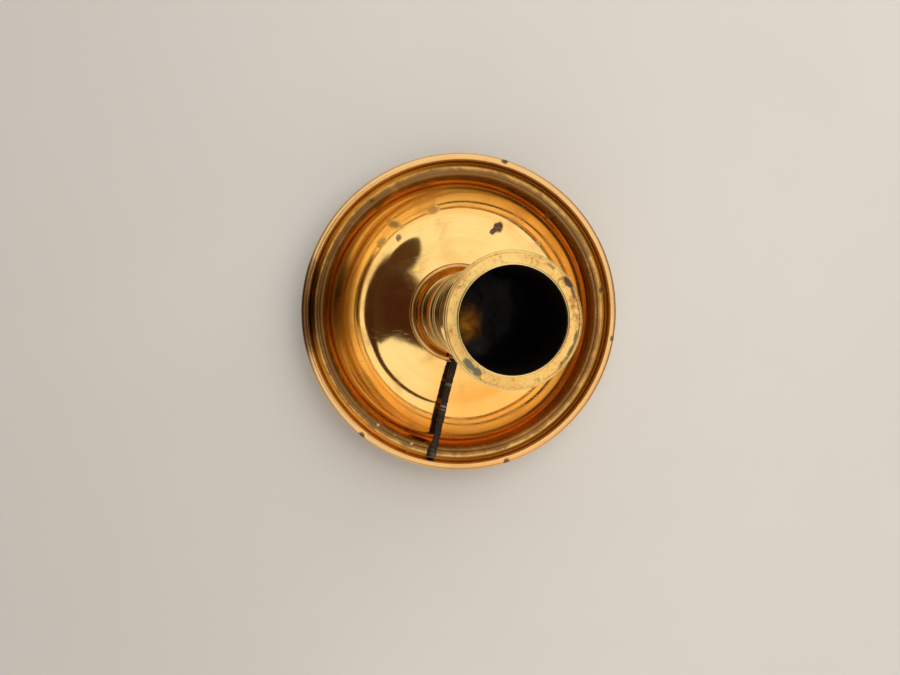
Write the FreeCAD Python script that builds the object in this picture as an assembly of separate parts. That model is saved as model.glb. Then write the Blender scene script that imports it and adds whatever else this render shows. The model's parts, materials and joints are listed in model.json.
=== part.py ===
import FreeCAD, Part
import math
import os

# Brass chamberstick: a round dished pan with a rolled rim carries one stout turned stem that ends in a
# candle socket with a flat lip. A centre stud clamps the turned pieces to the pan's raised centre.
# Millimetres, +Z up. The origin is on the stem's axis, in the plane that the felt pad stands on.

# Overall
pan_d = 101.0
total_h = 95.0
rim_z = 12.6              # height of the rolled rim's centre

# Pan: spun sheet, rolled outwards round a wire
sheet_t = 0.8
wire_d = 1.0
roll_gap = 0.25           # left open between the end of the roll and the pan's wall
cove_r = 2.0              # small cove just inside the rim
cove_w = 2.7              # from the cove's inner edge to the rim
cove_fall = 0.1           # the cove's floor falls towards its inner edge
step_w = 1.25             # raised step inside the cove, from its top corner to its foot
step_h = 0.6
step_under_r = 0.4        # round on the step's lower face
crease_r = 0.8
wall_lean_w = 2.6        # how far the pan's wall leans out from its foot to the step
wall_sweep_r = 2.5        # round at the wall's foot
dish_w = 7.35              # gently dished band between the floor and the wall's foot
dish_slope_deg = 22.0
dish_round_r = 20.0
floor_slope_deg = 2.4     # the floor rises towards the stem
boss_r = 9.8              # raised centre that the stem is bolted to
boss_foot_r = 12.6
boss_z = 7.6
boss_under_r = 0.4        # round on its lower face
boss_foot_round_r = 0.6

# Felt pad under the floor
felt_inset = 5.0          # from the start of the dished band to the felt's edge
felt_hole_r = 15.0
felt_t = 1.5

# Small rounds on the turned pieces
edge_r = 0.3
groove_r = 0.15

# Fastening
stud_d = 6.0
stud_clearance = 0.25
stud_tip_gap = 0.5        # left above the stud in its blind hole
thread_depth = 7.5
washer_d = 12.0
washer_t = 1.0
nut_af = 10.0             # across flats
nut_t = 3.2
stud_stand_out = 0.7      # stud below the nut
stud_chamfer = 0.4
nut_chamfer_w = 0.6
nut_chamfer_h = 0.3

# Stem foot: turned collar over the pan's raised centre
foot_seat_gap = 0.6       # from the foot of the raised centre to the ring that sits on the floor
foot_seat_w = 3.3
foot_bead_h = 2.3
foot_bead_under_r = 0.7   # rounds below and above the bead
foot_bead_over_r = 1.0
foot_ledge_w = 1.3        # step in from the bead
foot_ledge_h = 0.5
foot_ledge_slope = 0.2
foot_cove_r = 2.0
foot_cove_z = 7.2
foot_neck_t = 2.1         # wall round the recess
foot_neck_flare = 0.2
foot_h = 2.4              # above the pan's raised centre
foot_recess_gap = 1.1     # round the pan's raised centre

# Stem pillar
pillar_inset = 0.4        # from the foot's neck to the pillar's base
pillar_base_h = 1.4
pillar_ledge_h = 0.3
pillar_ledge_w = 0.7
pillar_waist_r = 11.1
pillar_waist_h = 8.0
pillar_top_r = 10.9
pillar_round_r = 20.0

# Stem knop: turned collar with two beads
knop_h = 8.0
knop_neck_r = 11.3
knop_bead_r = 12.8
knop_bead_z = (1.3, 4.3)  # from the knop's foot
knop_bead_round_r = 1.2
knop_small_bead_r = 12.1
knop_small_bead_z = (4.9, 6.9)
knop_small_bead_round_r = 0.55
knop_groove_r = 11.5
knop_taper = 0.2

# Candle socket: barrel with the candle bore
socket_h = 50.0
bore_d = 22.0
bore_depth = 28.0
bore_chamfer = 0.2
bore_corner_r = 1.0
barrel_t = 1.1
cup_floor_t = 3.0
waist_r = 11.1
waist_round_r = 2.5
base_ring_r = 11.9
base_ring_h = 1.6
base_ring_round_r = 0.7
base_ring_ledge_h = 0.3
cup_shoulder_h = 3.0      # waist to barrel
skirt_t = 1.3
skirt_corner_r = 1.0
tapped_boss_r = 5.5
tapped_boss_h = 10.0

# Socket lip: flat ring round the mouth
lip_w = 1.9               # beyond the barrel
lip_under_w = 0.8         # where its slanting underside ends
lip_t = 2.6
lip_edge_t = 1.4
lip_round_r = 0.35
lip_under_round_r = 0.5

# Spent match: lies from the cove, over the step, down to the stem's foot
match_t = 2.2
match_head_r = 1.6
match_heading_deg = -105.2
match_aside = 2.41        # its line passes this far beside the stem's axis
match_gap = 0.35          # from its head to the wall above the cove
match_over_step = 0.75    # its slope lifts its head above the step
match_over_foot = 0.25
match_tip_back = 1.9      # from the foot's neck to its burnt tip
match_bow = 0.4           # its middle bows up

os.makedirs("parts", exist_ok=True)

ORIGIN = FreeCAD.Vector(0, 0, 0)
UP = FreeCAD.Vector(0, 0, 1)
SMALLEST_RUN = 1e-6


def unit(a, b):
    """Direction from one (r, z) point to another, and the distance."""
    length = math.hypot(b[0] - a[0], b[1] - a[1])
    return ((b[0] - a[0]) / length, (b[1] - a[1]) / length), length


def edge_points(before, corner, after):
    """The start, middle and end of the fillet at a corner; all three meet where it has no fillet."""
    r, z, fillet = corner
    if fillet == 0:
        return [(r, z)] * 3
    into, _ = unit(corner, before)
    out, _ = unit(corner, after)
    opening = math.acos(max(-1.0, min(1.0, into[0] * out[0] + into[1] * out[1])))
    tangent = fillet / math.tan(opening / 2)
    bisector, _ = unit((0, 0), (into[0] + out[0], into[1] + out[1]))
    to_middle = fillet / math.sin(opening / 2) - fillet
    start = (r + into[0] * tangent, z + into[1] * tangent)
    middle = (r + bisector[0] * to_middle, z + bisector[1] * to_middle)
    end = (r + out[0] * tangent, z + out[1] * tangent)
    return [start, middle, end]


def at(point):
    """A point of the half plane y = 0."""
    return FreeCAD.Vector(point[0], 0, point[1])


def edges_through(corners, closed):
    """Straight runs joined by tangent arcs through (r, z, fillet) corners."""
    count = len(corners)
    rounds = []
    for i, corner in enumerate(corners):
        if closed or 0 < i < count - 1:
            rounds.append(edge_points(corners[i - 1], corner, corners[(i + 1) % count]))
        else:
            rounds.append([(corner[0], corner[1])] * 3)
    edges = []
    for i, (start, middle, end) in enumerate(rounds):
        if start != end:
            edges.append(Part.Arc(at(start), at(middle), at(end)).toShape())
        if not closed and i == count - 1:
            break
        following = rounds[(i + 1) % count][0]
        if math.hypot(following[0] - end[0], following[1] - end[1]) > SMALLEST_RUN:
            edges.append(Part.makeLine(at(end), at(following)))
    return edges


def beside(corners, thickness):
    """The path that runs parallel to an open path, on its right-hand side."""
    shifted = []
    last = len(corners) - 1
    for i, (r, z, fillet) in enumerate(corners):
        into, _ = unit(corners[max(i - 1, 0)], corners[max(i, 1)])
        out, _ = unit(corners[min(i, last - 1)], corners[min(i + 1, last)])
        turn = into[0] * out[1] - into[1] * out[0]
        right = (into[1] + out[1], -into[0] - out[0])
        scale = thickness / (1 + into[0] * out[0] + into[1] * out[1])
        new_fillet = fillet + math.copysign(thickness, turn) if fillet else 0
        shifted.append((r + right[0] * scale, z + right[1] * scale, new_fillet))
    return shifted


def spin(edges):
    """Solid of revolution of a closed outline about the stem's axis."""
    wire = Part.Wire(Part.__sortEdges__(edges))
    return Part.Face(wire).revolve(ORIGIN, UP, 360)


def turned(corners):
    """A turned piece, from the corners of its half section."""
    return spin(edges_through(corners, closed=True))


def spun_sheet(corners, thickness):
    """A sheet that is spun to shape, from its upper face."""
    upper = edges_through(corners, closed=False)
    lower_corners = beside(corners, thickness)
    lower = edges_through(lower_corners, closed=False)
    ends = [Part.makeLine(at(corners[i]), at(lower_corners[i])) for i in (0, -1)]
    return spin(upper + lower + ends)


def save(name, shape):
    """Writes one piece and reports its volume."""
    shape.exportStep("parts/" + name + ".step")
    print(name, "valid", shape.isValid(), "solids", len(shape.Solids), "volume", round(shape.Volume, 1))


def floor_z(r):
    """Height of the pan's floor, on its upper face."""
    return felt_t + sheet_t + (felt_r - r) * math.tan(math.radians(floor_slope_deg))


# What follows from the sizes above
pan_r = pan_d / 2
roll_r = wire_d / 2 + sheet_t
rim_r = pan_r - roll_r
wall_r = rim_r - roll_r
crease_at_r = wall_r - cove_w
step_top_r = crease_at_r - step_w
wall_foot_r = step_top_r - wall_lean_w
cove_z = rim_z - cove_r   # corner of the cove's floor and the wall
crease_z = cove_z - cove_fall
step_round_r = sheet_t + step_under_r
boss_round_r = sheet_t + boss_under_r
dish_r = wall_foot_r - dish_w
felt_r = dish_r - felt_inset
stud_r = stud_d / 2
hole_r = stud_r + stud_clearance
foot_seat_r = boss_foot_r + foot_seat_gap
foot_r = foot_seat_r + foot_seat_w
foot_neck_r = boss_r + foot_recess_gap + foot_neck_t
foot_top_z = boss_z + foot_h
pillar_base_r = foot_neck_r - pillar_inset
pillar_flare_r = pillar_base_r - pillar_ledge_w
knop_top_z = total_h - socket_h
pillar_top_z = knop_top_z - knop_h
bore_r = bore_d / 2
barrel_r = bore_r + barrel_t
bore_floor_z = total_h - bore_depth
cup_under_z = bore_floor_z - cup_floor_t
tapped_boss_z = cup_under_z - tapped_boss_h
lip_r = barrel_r + lip_w
lip_under_r = barrel_r + lip_under_w


def drip_pan():
    """Dished pan: raised centre, sloping floor, dished band, wall, step, cove and rolled rim."""
    roll_end_r = wall_r + sheet_t + roll_gap
    wall_foot_z = floor_z(dish_r) + dish_w * math.tan(math.radians(dish_slope_deg))
    return spun_sheet([
        (hole_r, boss_z, 0),
        (boss_r, boss_z, boss_round_r),
        (boss_foot_r, floor_z(boss_foot_r), boss_foot_round_r),
        (dish_r, floor_z(dish_r), dish_round_r),
        (wall_foot_r, wall_foot_z, wall_sweep_r),
        (step_top_r, crease_z + step_h, step_round_r),
        (crease_at_r, crease_z, crease_r),
        (wall_r, cove_z, cove_r),
        (wall_r, rim_z + roll_r, roll_r),
        (pan_r, rim_z + roll_r, roll_r),
        (pan_r, rim_z - roll_r, roll_r),
        (roll_end_r, rim_z - roll_r, 0),
    ], sheet_t)


def rim_wire():
    """Wire inside the rolled rim."""
    return Part.makeTorus(rim_r, wire_d / 2, FreeCAD.Vector(0, 0, rim_z), UP)


def felt_pad():
    """Ring of felt between the pan's floor and the table."""
    sheet_h = sheet_t / math.cos(math.radians(floor_slope_deg))
    return turned([
        (felt_hole_r, 0, 0),
        (felt_r, 0, 0),
        (felt_r, floor_z(felt_r) - sheet_h, 0),
        (felt_hole_r, floor_z(felt_hole_r) - sheet_h, 0),
    ])


def stem_foot():
    """Turned collar that sits on the floor and on the raised centre."""
    bead_z = floor_z(foot_r) + foot_bead_h
    ledge_r = foot_r - foot_ledge_w
    return turned([
        (foot_seat_r, floor_z(foot_seat_r), 0),
        (foot_r, floor_z(foot_r), foot_bead_under_r),
        (foot_r, bead_z, foot_bead_over_r),
        (ledge_r, bead_z, groove_r),
        (ledge_r - foot_ledge_slope, bead_z + foot_ledge_h, groove_r),
        (foot_neck_r + foot_neck_flare, foot_cove_z, foot_cove_r),
        (foot_neck_r, foot_top_z, edge_r),
        (hole_r, foot_top_z, 0),
        (hole_r, boss_z, 0),
        (boss_r + foot_recess_gap, boss_z, 0),
    ])


def stem_pillar():
    """Pillar with a fillet at its base and a gentle waist."""
    base_z = foot_top_z + pillar_base_h
    return turned([
        (hole_r, foot_top_z, 0),
        (pillar_base_r, foot_top_z, edge_r),
        (pillar_base_r, base_z, edge_r),
        (pillar_flare_r, base_z + pillar_ledge_h, groove_r),
        (pillar_waist_r, foot_top_z + pillar_waist_h, pillar_round_r),
        (pillar_top_r, pillar_top_z, groove_r),
        (hole_r, pillar_top_z, 0),
    ])


def stem_knop():
    """Collar with a large bead, a groove and a small bead."""
    low, high = (pillar_top_z + z for z in knop_bead_z)
    small_low, small_high = (pillar_top_z + z for z in knop_small_bead_z)
    return turned([
        (hole_r, pillar_top_z, 0),
        (knop_neck_r, pillar_top_z, groove_r),
        (knop_neck_r + knop_taper, low, groove_r),
        (knop_bead_r, low, knop_bead_round_r),
        (knop_bead_r, high, knop_bead_round_r),
        (knop_groove_r, high, groove_r),
        (knop_groove_r, small_low, groove_r),
        (knop_small_bead_r, small_low, knop_small_bead_round_r),
        (knop_small_bead_r, small_high, knop_small_bead_round_r),
        (knop_neck_r, small_high, groove_r),
        (knop_neck_r - knop_taper, knop_top_z, groove_r),
        (hole_r, knop_top_z, 0),
    ])


def candle_socket():
    """Barrel with the candle bore, a waist below it and a tapped boss inside for the stud."""
    skirt_r = waist_r - skirt_t
    thread_top_z = tapped_boss_z + thread_depth
    shoulder_z = cup_under_z - cup_shoulder_h
    return turned([
        (skirt_r, knop_top_z, 0),
        (base_ring_r, knop_top_z, edge_r),
        (base_ring_r, knop_top_z + base_ring_h, base_ring_round_r),
        (waist_r, knop_top_z + base_ring_h + base_ring_ledge_h, groove_r),
        (waist_r, shoulder_z, waist_round_r),
        (barrel_r, cup_under_z, waist_round_r),
        (barrel_r, total_h, groove_r),
        (bore_r + bore_chamfer, total_h, 0),
        (bore_r, total_h - bore_chamfer, 0),
        (bore_r, bore_floor_z, bore_corner_r),
        (0, bore_floor_z, 0),
        (0, thread_top_z, 0),
        (stud_r, thread_top_z, 0),
        (stud_r, tapped_boss_z, 0),
        (tapped_boss_r, tapped_boss_z, 0),
        (tapped_boss_r, cup_under_z - skirt_t, 0),
        (skirt_r, cup_under_z - skirt_t, skirt_corner_r),
    ])


def socket_lip():
    """Flat ring soldered round the barrel's mouth, thinner towards its edge."""
    return turned([
        (barrel_r, total_h, groove_r),
        (lip_r, total_h, lip_round_r),
        (lip_r, total_h - lip_edge_t, lip_under_round_r),
        (lip_under_r, total_h - lip_t, edge_r),
        (barrel_r, total_h - lip_t, 0),
    ])


def centre_stud():
    """Stud from under the nut up into the socket's tapped boss."""
    low = boss_z - sheet_t - washer_t - nut_t - stud_stand_out
    high = tapped_boss_z + thread_depth - stud_tip_gap
    return turned([
        (0, low, 0),
        (stud_r - stud_chamfer, low, 0),
        (stud_r, low + stud_chamfer, 0),
        (stud_r, high - stud_chamfer, 0),
        (stud_r - stud_chamfer, high, 0),
        (0, high, 0),
    ])


def base_washer():
    """Washer under the pan's raised centre."""
    top = boss_z - sheet_t
    return turned([
        (hole_r, top - washer_t, 0),
        (washer_d / 2, top - washer_t, groove_r),
        (washer_d / 2, top, 0),
        (hole_r, top, 0),
    ])


def base_nut():
    """Thin hexagon nut, chamfered below."""
    top = boss_z - sheet_t - washer_t
    corner_r = nut_af / 2 / math.cos(math.pi / 6)
    corners = [FreeCAD.Vector(corner_r * math.cos(math.pi / 3 * i), corner_r * math.sin(math.pi / 3 * i),
                              top - nut_t) for i in range(7)]
    hexagon = Part.Face(Part.makePolygon(corners)).extrude(FreeCAD.Vector(0, 0, nut_t))
    rounding = turned([
        (0, top - nut_t, 0),
        (corner_r - nut_chamfer_w, top - nut_t, 0),
        (corner_r, top - nut_t + nut_chamfer_h, 0),
        (corner_r, top, 0),
        (0, top, 0),
    ])
    bore = Part.makeCylinder(stud_r, nut_t, FreeCAD.Vector(0, 0, top - nut_t))
    return hexagon.common(rounding).cut(bore)


def spent_match():
    """Charred stick: its head in the cove inside the rim, its burnt tip over the stem's foot."""
    head_r = wall_r - match_gap - match_head_r
    head = (math.sqrt(head_r ** 2 - match_aside ** 2), crease_z + step_h + match_over_step + match_t / 2)
    ledge_z = floor_z(foot_r) + foot_bead_h + foot_ledge_h
    tip = (foot_neck_r + match_tip_back, ledge_z + match_over_foot + match_t / 2)
    middle = ((head[0] + tip[0]) / 2, (head[1] + tip[1]) / 2 + match_bow)
    along, run = unit(head, middle)
    path = Part.Wire(edges_through([(*head, 0), (*middle, run), (*tip, 0)], closed=False))
    half = match_t / 2
    across = FreeCAD.Vector(-along[1], 0, along[0])
    sideways = FreeCAD.Vector(0, 1, 0)
    square = [at(head) + across * (half * a) + sideways * (half * b)
              for a, b in ((1, 1), (1, -1), (-1, -1), (-1, 1), (1, 1))]
    stick = path.makePipeShell([Part.makePolygon(square)], True, False)
    whole = stick.fuse(Part.makeSphere(match_head_r, at(head))).removeSplitter()
    whole.translate(FreeCAD.Vector(0, match_aside, 0))
    whole.rotate(ORIGIN, UP, match_heading_deg)
    return whole


PIECES = (drip_pan, rim_wire, felt_pad, stem_foot, stem_pillar, stem_knop, candle_socket, socket_lip,
          centre_stud, base_washer, base_nut, spent_match)

for piece in PIECES:
    save(piece.__name__, piece())
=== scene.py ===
"""Looks of a brass chamberstick: spun pan, turned stem, candle socket and a spent match.

Every shape is given in millimetres about the stem's axis and built in metres, in the frame's own place.
"""

import json
import logging
import math
from collections.abc import Callable
from dataclasses import dataclass, field
from enum import Enum

import bmesh
import bpy
from mathutils import Matrix, Vector, noise


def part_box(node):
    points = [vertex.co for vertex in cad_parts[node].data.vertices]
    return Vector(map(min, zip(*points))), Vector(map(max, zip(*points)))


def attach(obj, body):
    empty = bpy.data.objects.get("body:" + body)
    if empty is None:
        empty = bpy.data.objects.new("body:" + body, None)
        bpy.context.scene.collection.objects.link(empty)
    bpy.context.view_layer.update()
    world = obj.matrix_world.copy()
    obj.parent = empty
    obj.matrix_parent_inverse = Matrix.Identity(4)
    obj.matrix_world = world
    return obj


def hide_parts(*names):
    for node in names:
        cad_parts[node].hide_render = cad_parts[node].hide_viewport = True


Triple = tuple[float, float, float]
Pair = tuple[float, float]

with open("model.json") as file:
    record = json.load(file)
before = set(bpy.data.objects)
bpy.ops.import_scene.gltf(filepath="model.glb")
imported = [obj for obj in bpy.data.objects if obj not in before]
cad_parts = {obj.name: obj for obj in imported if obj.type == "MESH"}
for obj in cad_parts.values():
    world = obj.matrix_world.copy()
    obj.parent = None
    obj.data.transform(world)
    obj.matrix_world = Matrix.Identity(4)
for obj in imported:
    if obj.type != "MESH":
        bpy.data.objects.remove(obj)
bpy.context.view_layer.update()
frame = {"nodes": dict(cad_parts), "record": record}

MM = 0.001
DENT_REACH = 2.5
DENT_STEEPNESS = 2.0
NOISE_SEED = 7
LOG = logging.getLogger("chamberstick")


class Body(Enum):
    """Bodies of the frame that pieces ride on."""

    CANDLESTICK = "candlestick"
    MATCH = "loose_match"


class Slot(Enum):
    """Material slots of the record."""

    PAN = "pan_brass"
    STEM = "stem_brass"
    SOCKET = "socket_brass"
    LIP = "lip_brass"
    WOOD = "charred_wood"


# --- Measures read from the frame -------------------------------------------------------------------


def node_radius(node: str) -> float:
    """Outer radius of a turned node, in millimetres."""
    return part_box(node)[1][0] / MM


def node_heights(node: str) -> Pair:
    """Lowest and highest point of a node, in millimetres."""
    low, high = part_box(node)
    return low[2] / MM, high[2] / MM


def bore_radius() -> float:
    """Radius of the candle bore, in millimetres."""
    mounts = {mount["name"]: mount for mount in frame["record"]["mounts"]}
    return mounts["candle_bore"]["dims"]["r_mm"]


# --- Outlines of turned pieces ----------------------------------------------------------------------


@dataclass(frozen=True)
class Corner:
    """A corner of a half section, with the radius that rounds it."""

    r: float
    z: float
    fillet: float = 0.0

    def towards(self, other: "Corner") -> Vector:
        """Unit direction to another corner."""
        return Vector((other.r - self.r, other.z - self.z)).normalized()


@dataclass(frozen=True)
class SectionPoint:
    """A sampled point of a half section, with its nearness to a groove and to an edge."""

    r: float
    z: float
    groove: float
    edge: float


@dataclass
class Outline:
    """Half section of a turned piece, counter-clockwise, so its metal lies on the left."""

    corners: list[Corner]
    closed: bool = True
    arc_step: float = math.radians(9.0)
    longest_run: float = 1.4
    groove_reach: float = 0.55
    edge_reach: float = 0.4
    largest_edge_fillet: float = 1.5
    _marks: list[tuple[Vector, float]] = field(default_factory=list)

    def _round(self, before: Corner, corner: Corner, after: Corner) -> list[Vector]:
        """Points of one rounded corner.

        Args:
            before: The corner ahead of it.
            corner: The corner to round.
            after: The corner that follows it.

        Returns:
            The points of its arc, or the corner itself where it is sharp.
        """
        into, out = corner.towards(before), corner.towards(after)
        here = Vector((corner.r, corner.z))
        turn = -(into.x * out.y - into.y * out.x)
        opening = math.acos(max(-1.0, min(1.0, into.dot(out))))
        if abs(math.pi - opening) > math.radians(8.0):
            weight = min(1.0, (math.pi - opening) / (math.pi / 2))
            if turn < 0 or corner.fillet < self.largest_edge_fillet:
                self._marks.append((here, math.copysign(weight, turn)))
        if corner.fillet <= 0 or math.pi - opening < 1e-4:
            return [here]
        tangent = corner.fillet / math.tan(opening / 2)
        centre = here + (into + out).normalized() * (corner.fillet / math.sin(opening / 2))
        start, end = here + into * tangent - centre, here + out * tangent - centre
        sweep = start.angle_signed(end)
        count = max(2, math.ceil(abs(sweep) / self.arc_step))
        first = math.atan2(start.y, start.x)
        return [centre + Vector((math.cos(first - sweep * i / count), math.sin(first - sweep * i / count)))
                * corner.fillet for i in range(count + 1)]

    def _strength(self, point: Vector, sign: float, reach: float) -> float:
        """How near a point lies to a groove (sign -1) or an edge (sign 1)."""
        near = [abs(weight) * math.exp(-(point - at).length / reach)
                for at, weight in self._marks if weight * sign > 0]
        return max(near, default=0.0)

    def points(self) -> list[SectionPoint]:
        """Samples the whole section."""
        self._marks.clear()
        count = len(self.corners)
        rounded = []
        for i, corner in enumerate(self.corners):
            if self.closed or 0 < i < count - 1:
                rounded.append(self._round(self.corners[i - 1], corner, self.corners[(i + 1) % count]))
            else:
                rounded.append([Vector((corner.r, corner.z))])
        path: list[Vector] = []
        for i, arc in enumerate(rounded):
            path += arc
            if i == count - 1 and not self.closed:
                break
            start, end = arc[-1], rounded[(i + 1) % count][0]
            pieces = max(1, math.ceil((end - start).length / self.longest_run))
            path += [start.lerp(end, k / pieces) for k in range(1, pieces)]
        kept = [path[0]]
        for point in path[1:]:
            if (point - kept[-1]).length > 0.01:
                kept.append(point)
        if self.closed and (kept[0] - kept[-1]).length <= 0.01:
            kept.pop()
        return [SectionPoint(p.x, p.y, self._strength(p, -1, self.groove_reach),
                             self._strength(p, 1, self.edge_reach)) for p in kept]


def beside(corners: list[Corner], thickness: float) -> list[Corner]:
    """Corners of the path that runs parallel to an open path, on its right-hand side.

    Args:
        corners: The open path.
        thickness: The distance between the two paths.

    Returns:
        One corner for each given corner.
    """
    shifted = []
    last = len(corners) - 1
    for i, corner in enumerate(corners):
        into = corners[max(i - 1, 0)].towards(corners[max(i, 1)])
        out = corners[min(i, last - 1)].towards(corners[min(i + 1, last)])
        turn = into.x * out.y - into.y * out.x
        scale = thickness / (1 + into.dot(out))
        fillet = corner.fillet + math.copysign(thickness, turn) if corner.fillet else 0.0
        across, along = (into.y + out.y) * scale, (into.x + out.x) * scale
        shifted.append(Corner(corner.r + across, corner.z - along, fillet))
    return shifted


def lathe(name: str, outline: Outline, steps: int, hand_made: "HandMade | None" = None) -> bpy.types.Object:
    """Spins a half section into a smooth shell.

    Args:
        name: Name of the piece.
        outline: Its half section.
        steps: Facets round the axis.
        hand_made: Small faults of shape to give it.

    Returns:
        The new object, with "groove" and "edge" attributes on its points.
    """
    bm = bmesh.new()
    layers = {key: bm.verts.layers.float.new(key) for key in ("groove", "edge")}
    verts = []
    for point in outline.points():
        vert = bm.verts.new((point.r * MM, 0.0, point.z * MM))
        vert[layers["groove"]], vert[layers["edge"]] = point.groove, point.edge
        verts.append(vert)
    pairs = list(zip(verts, verts[1:] + verts[:1])) if outline.closed else list(zip(verts, verts[1:]))
    edges = [bm.edges.new(pair) for pair in pairs]
    bmesh.ops.spin(bm, geom=verts + edges, cent=(0, 0, 0), axis=(0, 0, 1), dvec=(0, 0, 0),
                   angle=math.tau, steps=steps, use_merge=True, use_normal_flip=False, use_duplicate=False)
    bmesh.ops.remove_doubles(bm, verts=bm.verts, dist=1e-7)
    bmesh.ops.dissolve_degenerate(bm, edges=bm.edges, dist=1e-7)
    bmesh.ops.recalc_face_normals(bm, faces=bm.faces)
    if hand_made:
        hand_made.shape(bm)
    return finished(name, bm)


def finished(name: str, bm: bmesh.types.BMesh, sharp: float = math.radians(40.0)) -> bpy.types.Object:
    """Turns a bmesh into a smooth-shaded object in the scene.

    Args:
        name: Name of the piece.
        bm: Its mesh, freed afterwards.
        sharp: Edges that turn by more than this stay crisp.

    Returns:
        The new object.
    """
    mesh = bpy.data.meshes.new(name)
    bm.to_mesh(mesh)
    bm.free()
    mesh.shade_smooth()
    mesh.set_sharp_from_angle(angle=sharp)
    obj = bpy.data.objects.new(name, mesh)
    bpy.context.scene.collection.objects.link(obj)
    return obj


# --- Small faults of shape --------------------------------------------------------------------------


@dataclass(frozen=True)
class Dent:
    """A small pressed-in place: where it is, how wide and how deep, and which way the metal moved."""

    azimuth: float
    r: float
    z: float
    width: float
    depth: float
    outwards: float = -1.0
    upwards: float = 0.0

    def centre(self) -> Vector:
        """Its middle, in metres."""
        turn = math.radians(self.azimuth)
        return Vector((self.r * math.cos(turn), self.r * math.sin(turn), self.z)) * MM


@dataclass(frozen=True)
class HandMade:
    """What the hand and use leave on a turned piece: a slow waver, and dents."""

    waver: float = 0.0
    waver_length: float = 30.0
    waver_from_r: float = 0.0
    waver_fade_w: float = 8.0
    dents: tuple[Dent, ...] = ()
    seed: float = 0.0
    land_z: float | None = None
    land_keep: float = 0.4

    def shape(self, bm: bmesh.types.BMesh) -> None:
        """Moves the points of a finished shell."""
        middles = [(dent, dent.centre()) for dent in self.dents]
        for vert in bm.verts:
            if self.land_z is not None and vert.co.z > self.land_z * MM:
                vert.co.z = self.land_z * MM + (vert.co.z - self.land_z * MM) * self.land_keep
            place = vert.co.copy()
            r = math.hypot(place.x, place.y)
            outwards = Vector((place.x, place.y, 0.0)) / r if r > 1e-6 else Vector()
            far = (r / MM - self.waver_from_r) / self.waver_fade_w
            fade = min(1.0, max(0.0, far)) if self.waver_from_r else 1.0
            sample = place / (self.waver_length * MM) + Vector((self.seed, self.seed, self.seed))
            vert.co += noise.noise_vector(sample) * (self.waver * MM * fade)
            for dent, middle in middles:
                near = (place - middle).length / (dent.width * MM)
                if near < DENT_REACH:
                    push = dent.depth * MM * math.exp(-near * near * DENT_STEEPNESS)
                    vert.co += (outwards * dent.outwards + Vector((0, 0, dent.upwards))) * push


# --- Shader maths -----------------------------------------------------------------------------------


def operator(operation: str, swapped: bool = False) -> Callable[["Value", "Value | float"], "Value"]:
    """Makes the method that adds a Math node for one operator.

    Args:
        operation: The node's operation.
        swapped: Whether the other value comes first.

    Returns:
        The method.
    """
    def method(value: "Value", other: "Value | float") -> "Value":
        """Applies the operation to two values."""
        return value.graph.maths(operation, *((other, value) if swapped else (value, other)))

    return method


class Value:
    """A number that varies over a surface, as the socket that gives it."""

    def __init__(self, graph: "Graph", socket: bpy.types.NodeSocket) -> None:
        self.graph = graph
        self.socket = socket

    __add__ = __radd__ = operator("ADD")
    __sub__, __rsub__ = operator("SUBTRACT"), operator("SUBTRACT", swapped=True)
    __mul__ = __rmul__ = operator("MULTIPLY")
    __truediv__ = operator("DIVIDE")
    __pow__ = operator("POWER")
    highest, lowest = operator("MAXIMUM"), operator("MINIMUM")

    def ramp(self, low: float, high: float, to_low: float = 0.0, to_high: float = 1.0) -> "Value":
        """Smooth step from one value to another.

        Args:
            low: Where the step starts.
            high: Where it ends; it may be below low, for a falling step.
            to_low: Result before the step.
            to_high: Result after it.

        Returns:
            The stepped value.
        """
        if low > high:
            low, high, to_low, to_high = high, low, to_high, to_low
        node = self.graph.node("ShaderNodeMapRange", {"interpolation_type": "SMOOTHSTEP"},
                               {"Value": self, "From Min": low, "From Max": high,
                                "To Min": to_low, "To Max": to_high})
        return Value(self.graph, node.outputs["Result"])


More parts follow.
